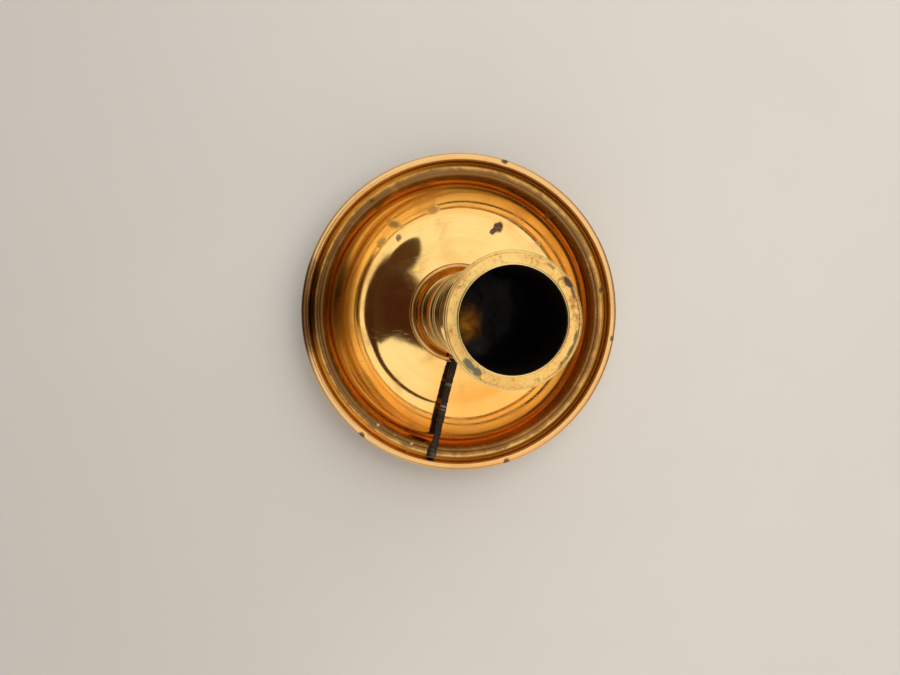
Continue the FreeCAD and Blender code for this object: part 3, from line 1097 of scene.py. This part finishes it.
@dataclass
class OldWax:
    """Old wax: a sunken cake on the bore's floor that climbs the wall on one side."""

    wall_gap: float = 0.03
    skin_gap: float = 0.25
    rings: int = 16
    steps: int = 96
    wall_share: float = 0.35
    shoulder_w: float = 0.5
    shoulder_share: float = 0.2
    cake_h: float = 0.9
    climb: float = 11.0
    least_climb: float = 1.2
    climb_at: float = math.radians(-42.0)
    climb_spread: float = 1.6
    ragged: float = 2.2
    least_r: float = 0.02
    coarse_lumps: Pair = (0.33, 0.5)
    fine_lumps: Pair = (0.9, 0.22)

    def crest(self, turn: float, share: float) -> float:
        """How high the wax reaches above the bore's floor, at a turn round the axis."""
        side = max(0.0, math.cos((turn - self.climb_at) / self.climb_spread))
        climb = self.climb * side ** 2 + self.least_climb
        ragged = noise.noise(Vector((math.cos(turn) * 3.0, math.sin(turn) * 3.0, 5.0))) * self.ragged
        ragged *= max(0.0, 1.0 - max(0.0, share - self.wall_share) * 4.0)
        return max(self.cake_h, climb + ragged)

    def place(self, turn: float, share: float, radius: float, floor: float) -> Vector:
        """Place of a point of the wax.

        Args:
            turn: Its turn round the axis.
            share: 0 at the foot of the wall and 1 at the middle of the cake.
            radius: Radius of the wax on the wall.
            floor: Height of the bore's floor.

        Returns:
            Its place, in millimetres.
        """
        crest = floor + self.crest(turn, share)
        if share <= self.wall_share:
            reach, height = radius, floor + (crest - floor) * share / self.wall_share
        else:
            inwards = (share - self.wall_share) / (1.0 - self.wall_share)
            reach = radius * (1.0 - inwards)
            if inwards <= self.shoulder_share:
                reach = radius - self.shoulder_w * inwards / self.shoulder_share
            reach = min(reach, radius - self.skin_gap)
            height = floor + self.cake_h + (crest - floor - self.cake_h) * (1.0 - inwards) ** 4
        reach = max(reach, self.least_r)
        place = Vector((reach * math.cos(turn), reach * math.sin(turn), height))
        if reach < radius:
            (coarse, coarse_h), (fine, fine_h) = self.coarse_lumps, self.fine_lumps
            lumps = noise.noise_vector(place * coarse) * coarse_h + noise.noise_vector(place * fine) * fine_h
            lumps.xy *= min(1.0, reach / 3.0) * 0.6
            place += lumps
            place.xy *= min(1.0, (radius - 0.1) / place.xy.length)
        return place

    def build(self, floor: float) -> bpy.types.Object:
        """Builds the wax on the bore's floor.

        Args:
            floor: Height of the floor.

        Returns:
            The new object.
        """
        radius = bore_radius() - self.wall_gap
        bm = bmesh.new()
        bmesh.ops.create_circle(bm, cap_ends=False, segments=self.steps, radius=radius * MM,
                                matrix=Matrix.Translation((0, 0, floor * MM)))
        loop = list(bm.edges)
        for ring in range(self.rings):
            grown = bmesh.ops.extrude_edge_only(bm, edges=loop)["geom"]
            verts = [item for item in grown if isinstance(item, bmesh.types.BMVert)]
            loop = [item for item in grown if isinstance(item, bmesh.types.BMEdge)
                    and all(v in verts for v in item.verts)]
            for vert in verts:
                turn = math.atan2(vert.co.y, vert.co.x)
                vert.co = self.place(turn, (ring + 1) / self.rings, radius, floor) * MM
        bmesh.ops.holes_fill(bm, edges=bm.edges, sides=self.steps)
        bmesh.ops.recalc_face_normals(bm, faces=bm.faces)
        return finished("old_wax", bm, math.radians(80.0))


@dataclass
class Socket:
    """Barrel with the candle bore, the lip round its mouth and the old wax in it."""

    barrel_t: float = 1.1
    bore_corner: float = 1.0
    bore_depth: float = 28.0
    cup_floor: float = 3.0
    shoulder_h: float = 3.0
    waist_r: float = 11.1
    waist_round: float = 2.5
    ring_r: float = 11.9
    ring_h: float = 1.6
    ring_round: float = 0.7
    ring_ledge: float = 0.3
    skirt_t: float = 1.3
    skirt_corner: float = 1.0
    boss_r: float = 5.5
    boss_h: float = 10.0
    stud_r: float = 3.0
    thread_h: float = 7.5
    edge: float = 0.3
    tight: float = 0.15
    lip_round: float = 0.35
    lip_edge_t: float = 1.4
    lip_under_round: float = 0.5
    lip_under_w: float = 0.8
    cap_t: float = 0.5
    ridge_w: float = 0.55
    ridge_h: float = 0.14
    ridge_round: float = 0.12
    ridge_span: Pair = (0.3, 0.7)
    steps: int = 176

    def barrel(self) -> Outline:
        """Section of the barrel."""
        foot, top = node_heights("candle_socket")
        bore = bore_radius()
        outer = bore + self.barrel_t
        floor = top - self.bore_depth
        under = floor - self.cup_floor
        boss_z = under - self.boss_h
        skirt = self.waist_r - self.skirt_t
        return Outline([
            Corner(skirt, foot),
            Corner(self.ring_r, foot, self.edge),
            Corner(self.ring_r, foot + self.ring_h, self.ring_round),
            Corner(self.waist_r, foot + self.ring_h + self.ring_ledge, self.tight),
            Corner(self.waist_r, under - self.shoulder_h, self.waist_round),
            Corner(outer, under, self.waist_round),
            Corner(outer, top - self.cap_t),
            Corner(bore, top - self.cap_t),
            Corner(bore, floor, self.bore_corner),
            Corner(self.stud_r, floor),
            Corner(0.0, floor),
            Corner(0.0, boss_z + self.thread_h),
            Corner(self.stud_r, boss_z + self.thread_h),
            Corner(self.stud_r, boss_z),
            Corner(self.boss_r, boss_z),
            Corner(self.boss_r, under - self.skirt_t),
            Corner(skirt, under - self.skirt_t, self.skirt_corner),
        ])

    def lip(self) -> Outline:
        """Section of the mouth ring, which covers the barrel's edge too."""
        low, top = node_heights("socket_lip")
        inner, outer = bore_radius() + self.barrel_t, node_radius("socket_lip")
        return Outline([
            Corner(inner, low),
            Corner(inner + self.lip_under_w, low, self.edge),
            Corner(outer, top - self.lip_edge_t, self.lip_under_round),
            Corner(outer, top, self.lip_round),
            Corner(outer - self.ridge_w, top, self.ridge_round),
            Corner(outer - self.ridge_w - self.ridge_h, top - self.ridge_h, self.ridge_round),
            Corner(bore_radius() + self.ridge_span[1] * self.ridge_w, top - self.ridge_h, self.ridge_round),
            Corner(bore_radius() + self.ridge_span[0] * self.ridge_w, top, self.ridge_round),
            Corner(bore_radius(), top, self.ridge_round),
            Corner(bore_radius(), top - self.cap_t),
            Corner(inner, top - self.cap_t),
        ])

    def lip_finish(self) -> LipFinish:
        """Heat-marked brass, with the marks where the flame and the wax left them."""
        return LipFinish(
            top_z=node_heights("socket_lip")[1],
            red_marks=(
                Stain(-12.7, -2.5, 1.0, 0.6, 80.0, 0.9, 0.6),
                Stain(12.9, 2.2, 1.3, 3.6, 8.0, 0.95, 0.7),
                Stain(-10.6, 7.3, 0.7, 1.4, -35.0, 0.9, 0.6),
                Stain(9.6, 8.0, 1.0, 1.4, -45.0, 0.8, 0.7),
                Stain(4.0, 12.0, 2.0, 0.8, -15.0, 0.5, 0.7),
                Stain(5.0, -11.8, 0.6, 0.8, 0.0, 0.6, 0.7),
            ),
            green_marks=(
                Stain(-8.9, -8.7, 1.6, 0.7, -52.0, 0.95, 0.25),
                Stain(-7.3, -10.2, 1.1, 0.75, -52.0, 0.95, 0.25),
            ),
            dark_marks=(
                Stain(10.9, 7.6, 1.3, 0.6, -52.0, 0.95, 0.3),
                Stain(12.0, 5.4, 1.3, 0.3, -70.0, 0.7, 0.4),
                Stain(7.4, 10.8, 0.9, 0.3, -40.0, 0.5, 0.5),
                Stain(12.6, -3.4, 1.3, 0.28, 76.0, 0.75, 0.4),
                Stain(11.6, -6.0, 1.6, 0.32, 62.0, 0.8, 0.4),
                Stain(10.1, -8.3, 1.4, 0.28, 50.0, 0.6, 0.5),
            ),
        )

    def make(self) -> None:
        """Builds and dresses the barrel, the lip and the wax."""
        top = node_heights("candle_socket")[1]
        finish = SootedBrassFinish(bright=(0.94, 0.63, 0.22), warm=(0.88, 0.53, 0.16),
                                   tarnish=(0.36, 0.18, 0.06), tarnish_share=0.25, dull=0.18,
                                   groove_shade=0.95, hammer_depth=0.01,
                                   bore_r=bore_radius(), bore_floor_z=top - self.bore_depth, mouth_z=top)
        barrel = lathe("socket_barrel", self.barrel(), self.steps)
        settle(barrel, Body.CANDLESTICK, Slot.SOCKET, finish.build("socket_brass_sooted"), "candle_socket")
        bends = HandMade(waver=0.03, waver_length=9.0, seed=4.0)
        lip = lathe("mouth_ring", self.lip(), self.steps, bends)
        heated = self.lip_finish().build("lip_brass_heat_marked")
        settle(lip, Body.CANDLESTICK, Slot.LIP, heated, "socket_lip")
        wax = OldWax().build(top - self.bore_depth)
        settle(wax, Body.CANDLESTICK, Slot.SOCKET, WaxFinish().build("wax_sooted"))


@dataclass
class Match:
    """Spent match: a charred, slightly bent stick with its burnt head in the cove."""

    heading: float = -105.2
    aside: float = 2.41
    thickness: float = 2.3
    head_r: float = 1.35
    head: Pair = (46.0, 12.9)
    tip: Pair = (14.9, 7.1)
    bow: float = 0.45
    sway: float = 0.3
    sway_turns: float = 0.85
    sway_start: float = 0.6
    sway_at_head: float = 0.4
    waist_share: float = 0.12
    waist_reach: float = 1.15
    swell_at: float = 1.6
    swell_w: float = 1.5
    blunt_l: float = 0.55
    tip_share: float = 0.012
    round_share: float = 0.06
    corner_power: int = 5
    crack_depth: float = 0.12
    ash_bands: tuple[Triple, ...] = ((23.6, 0.5, 0.6), (30.6, 0.5, 1.0), (31.6, 0.35, 0.6))
    head_char_from: float = 44.6
    sections: int = 110
    facets: int = 28

    def centre(self, share: float) -> Vector:
        """Middle of the stick, in its own upright plane.

        Args:
            share: 0 at the head's end and 1 at the tip.

        Returns:
            Distance along its heading, sideways shift and height.
        """
        start = self.head[0] + self.head_r
        along = start + (self.tip[0] - start) * share
        sideways = self.sway * math.sin(share * math.tau * self.sway_turns + self.sway_start)
        sideways *= self.sway_at_head + (1.0 - self.sway_at_head) * share
        height = self.head[1] + (self.tip[1] - self.head[1]) * share + self.bow * math.sin(math.pi * share)
        return Vector((along, sideways, height))

    def girth(self, share: float) -> float:
        """Half thickness: a blunt head, a long waist and a ragged tip."""
        gone = share * (self.head[0] + self.head_r - self.tip[0])
        waist = math.sin(math.pi * min(1.0, share * self.waist_reach))
        body = self.thickness / 2 * (1.0 - self.waist_share * waist)
        swell = (self.head_r - body) * math.exp(-((gone - self.swell_at) / self.swell_w) ** 2)
        blunt = min(1.0, gone / self.blunt_l) ** 0.5
        return (body + swell) * blunt * min(1.0, (1.0 - share) / self.tip_share) ** 0.5

    def stick(self) -> bpy.types.Object:
        """Draws out a ring of points along the stick.

        Returns:
            The new object, with the distance along its heading as its "along" attribute.
        """
        bm = bmesh.new()
        layer = bm.verts.layers.float.new("along")
        bmesh.ops.create_circle(bm, cap_ends=True, segments=self.facets, radius=0.05 * MM)
        ring = list(bm.faces)
        current = [loop.vert for loop in ring[0].loops]
        spokes = [math.atan2(vert.co.y, vert.co.x) for vert in current]
        self.place(current, spokes, 0.0, layer)
        for k in range(1, self.sections + 1):
            grown = bmesh.ops.extrude_face_region(bm, geom=ring)["geom"]
            bmesh.ops.delete(bm, geom=ring, context="FACES_ONLY")
            ring = [item for item in grown if isinstance(item, bmesh.types.BMFace)]
            fresh = [loop.vert for loop in ring[0].loops]
            spokes = [spokes[current.index(self.mate(vert, current))] for vert in fresh]
            current = fresh
            self.place(current, spokes, k / self.sections, layer)
        bmesh.ops.holes_fill(bm, edges=bm.edges, sides=self.facets)
        bmesh.ops.recalc_face_normals(bm, faces=bm.faces)
        return finished("charred_match", bm, math.radians(60.0))

    @staticmethod
    def mate(vert: bmesh.types.BMVert, ring: list[bmesh.types.BMVert]) -> bmesh.types.BMVert:
        """The point of the last ring that a new point grew from."""
        known = set(ring)
        return next(edge.other_vert(vert) for edge in vert.link_edges if edge.other_vert(vert) in known)

    def place(self, verts: list[bmesh.types.BMVert], spokes: list[float], share: float,
              layer: object) -> None:
        """Moves one ring of points to its station on the stick."""
        middle = self.centre(share)
        heading = (self.centre(min(1.0, share + 0.01)) - self.centre(max(0.0, share - 0.01))).normalized()
        side = Vector((0, 1, 0))
        rise = heading.cross(side).normalized()
        girth = self.girth(share)
        squareness = min(1.0, max(0.0, share - self.round_share) / self.round_share)
        power = self.corner_power
        spin = Matrix.Rotation(math.radians(self.heading), 3, "Z")
        for vert, spoke in zip(verts, spokes):
            outwards = side * math.cos(spoke) + rise * math.sin(spoke)
            flat = (abs(math.cos(spoke)) ** power + abs(math.sin(spoke)) ** power) ** (-1 / power)
            place = middle + outwards * girth * (1 + (flat - 1) * squareness)
            lumps = noise.noise(place * 0.55) * 0.14 + noise.noise(place * 1.9) * 0.08
            split = max(0.0, noise.noise(Vector((middle.x * 1.9, spoke * 0.8, 3.0))))
            cracks = -self.crack_depth * split ** 0.5
            place += outwards * ((lumps + cracks) * min(1.0, girth)) + Vector((0, self.aside, 0))
            vert.co = spin @ place * MM
            vert[layer] = middle.x * MM

    def finish(self) -> CharFinish:
        """Char with its bands of ash, by distance along its heading."""
        return CharFinish(bands=self.ash_bands, head_from=self.head_char_from)

    def make(self) -> None:
        """Builds and dresses the match."""
        settle(self.stick(), Body.MATCH, Slot.WOOD, self.finish().build("burnt_wood"), "spent_match")


@dataclass
class Hardware:
    """The hidden pieces that keep their own shapes: felt, wire, stud, washer and nut."""

    def make(self) -> None:
        """Gives each of them its finish."""
        finishes = {
            "felt_pad": FeltFinish().build("green_baize"),
            "rim_wire": SteelFinish(metal=(0.3, 0.28, 0.26), roughness=0.45).build("drawn_iron"),
            "centre_stud": SteelFinish().build("stud_steel"),
            "base_washer": SteelFinish().build("washer_steel"),
            "base_nut": SteelFinish(metal=(0.5, 0.49, 0.45)).build("nut_steel"),
        }
        for node, material in finishes.items():
            obj = frame["nodes"][node]
            for slot in obj.material_slots:
                slot.material = material
            LOG.info("%s: keeps its shape, dressed as %s", node, material.name)


# --- Stage ------------------------------------------------------------------------------------------


@dataclass
class Studio:
    """Pale table, soft light from above, the camera and the dark cards round its lens."""

    eye: Vector = field(default_factory=lambda: Vector((-26.685, 3.526, 226.67)))
    aim: Vector = field(default_factory=lambda: Vector((-3.96, -7.67, 12.6)))
    roll: float = math.radians(-0.14)
    lens: float = 27.04
    table: Triple = (0.80, 0.775, 0.73)
    sky: float = 1.12
    sky_colour: Triple = (1.0, 0.985, 0.955)
    warm_colour: Triple = (1.0, 0.80, 0.60)
    sky_from: float = 0.38
    sky_full: float = 0.86
    side: float = 0.03
    windows: float = 0.55
    near_side: float = 0.45
    left_fall: float = 0.62
    right_fall: float = 0.28
    wide: float = 0.35
    shade: float = 0.8
    panel: float = 7.0
    panel_at: Triple = (0.62, 0.62, 1.1)
    panel_size: Pair = (1.4, 1.0)
    panel_colour: Triple = (1.0, 0.97, 0.92)
    shade_at: Pair = (0.02, -0.62)
    shade_half: Pair = (0.3, 0.13)
    warm_x: Pair = (-0.02, 0.1)
    warm_y: Pair = (-0.2, -0.02)
    table_shade_x: Pair = (-190.0, 40.0)
    table_shade: float = 0.66
    dark: Triple = (0.12, 0.06, 0.028)
    red: Triple = (0.085, 0.022, 0.012)

    def camera(self) -> None:
        """Places the camera above and a little left of the stem."""
        data = bpy.data.cameras.new("camera")
        data.lens = self.lens
        data.sensor_width = 36.0
        data.clip_start, data.clip_end = 0.005, 20.0
        eye, aim = self.eye * MM, self.aim * MM
        ahead = (aim - eye).normalized()
        right = (Vector((1, 0, 0)) - ahead * ahead.x).normalized()
        up = right.cross(ahead)
        turn = Matrix((right, up, -ahead)).transposed().to_4x4() @ Matrix.Rotation(self.roll, 4, "Z")
        obj = bpy.data.objects.new("camera", data)
        obj.matrix_world = Matrix.Translation(eye) @ turn
        bpy.context.scene.collection.objects.link(obj)
        bpy.context.scene.camera = obj

    def floor(self) -> None:
        """Pale table top, with painted shade that darkens it towards the left."""
        g = Graph.material("pale_table")
        cloud = g.noise(9.0, 4.0, 0.6)
        colour = g.mix(cloud.ramp(0.3, 0.7), self.table, tuple(c * 0.97 for c in self.table))
        # Painted shade: the table darkened towards the left.
        shaded_table = tuple(c * self.table_shade for c in self.table)
        colour = g.mix(g.x.ramp(*self.table_shade_x[::-1]) * 0.5, colour, shaded_table)
        material = g.finish(Base_Color=colour, Roughness=0.55, Normal=g.bump(g.noise(1400.0, 2.0), 0.004))
        bm = bmesh.new()
        bmesh.ops.create_grid(bm, x_segments=1, y_segments=1, size=1.5)
        table = finished("table_top", bm)
        table.data.materials.append(material)

    def card(self, name: str, centre: Triple, size: Pair, turn: float,
             colour: Triple) -> None:
        """Hangs a card over the object that only reflections and shade see.

        Args:
            name: Name of the card.
            centre: Its middle, and how far it hangs above the lens, in millimetres.
            size: Its width and depth, in millimetres.
            turn: Its turn about the vertical, in degrees.
            colour: Its colour.
        """
        material = Graph.material(name + "_paint").finish(Base_Color=colour, Roughness=0.9)
        bm = bmesh.new()
        bmesh.ops.create_circle(bm, cap_ends=True, segments=48, radius=0.5)
        place = Matrix.Translation((Vector(centre) + Vector((0, 0, self.eye.z))) * MM)
        scale = Matrix.Diagonal((size[0] * MM, size[1] * MM, 1.0, 1.0))
        spin = Matrix.Rotation(math.radians(turn), 4, "Z")
        bmesh.ops.transform(bm, matrix=place @ spin @ scale, verts=bm.verts)
        obj = finished(name, bm)
        obj.data.materials.append(material)
        obj.visible_camera = False

    def light(self) -> None:
        """Soft dome, bright overhead and dim at the sides, and one large soft panel."""
        world = bpy.data.worlds.new("dome")
        g = Graph(world, "Generated")
        x, y, z = g.x * MM, g.y * MM, g.z * MM
        side = self.side + (y * y) * self.windows + (y * -1.0).highest(0.0) * self.near_side
        lifted = z - (x * self.right_fall).highest(x * -self.left_fall) + (y * y) * self.wide
        level = side + (self.sky - side) * lifted.ramp(self.sky_from, self.sky_full)
        (shade_x, shade_y), (half_x, half_y) = self.shade_at, self.shade_half
        across, along = (y - shade_y) * (1 / half_y), (x - shade_x) * (1 / half_x)
        level = level * (1.0 - (across * across + along * along).ramp(1.3, 0.5) * self.shade)
        warm = y.ramp(*self.warm_y[::-1]) * x.ramp(*self.warm_x)
        tint = g.mix(warm, self.sky_colour, self.warm_colour)
        background = g.node("ShaderNodeBackground", {}, {"Color": tint, "Strength": level})
        g.node("ShaderNodeOutputWorld", {}, {"Surface": background.outputs[0]})
        bpy.context.scene.world = world
        data = bpy.data.lights.new("soft_panel", "AREA")
        data.shape, data.energy, data.color = "RECTANGLE", self.panel, self.panel_colour
        data.size, data.size_y = self.panel_size
        panel = bpy.data.objects.new("soft_panel", data)
        place = Vector(self.panel_at)
        turn = (-place).to_track_quat("-Z", "Y").to_matrix().to_4x4()
        panel.matrix_world = Matrix.Translation(place) @ turn
        panel.visible_glossy = False
        bpy.context.scene.collection.objects.link(panel)

    def make(self) -> None:
        """Sets the whole stage."""
        self.camera()
        self.floor()
        self.light()
        for name, centre, size, turn, colour in (
            ("lens_card_top", (-27.0, 49.0, 3.0), (26.0, 46.0), -44.0, self.dark),
            ("lens_card", (-47.0, 24.0, 4.0), (42.0, 80.0), -20.0, self.dark),
            ("lens_card_low", (-50.0, -9.0, 5.0), (36.0, 50.0), 5.0, self.dark),
            ("grip_card", (-25.0, 3.0, 2.0), (34.0, 64.0), 0.0, self.red),
            ("grip_card_low", (-12.0, -32.0, 6.0), (66.0, 19.0), -27.0, self.dark),
        ):
            self.card(name, centre, size, turn, colour)
        scene = bpy.context.scene
        scene.view_settings.view_transform = "Standard"
        scene.view_settings.look = "None"


def main() -> None:
    """Builds the stage and every sub-assembly in order."""
    logging.basicConfig(level=logging.INFO, format="%(name)s %(message)s")
    noise.seed_set(NOISE_SEED)
    Studio().make()
    pan = Pan()
    pan.make()
    Stem().make(pan)
    Socket().make()
    Match().make()
    Hardware().make()


if __name__ == "__main__":
    main()
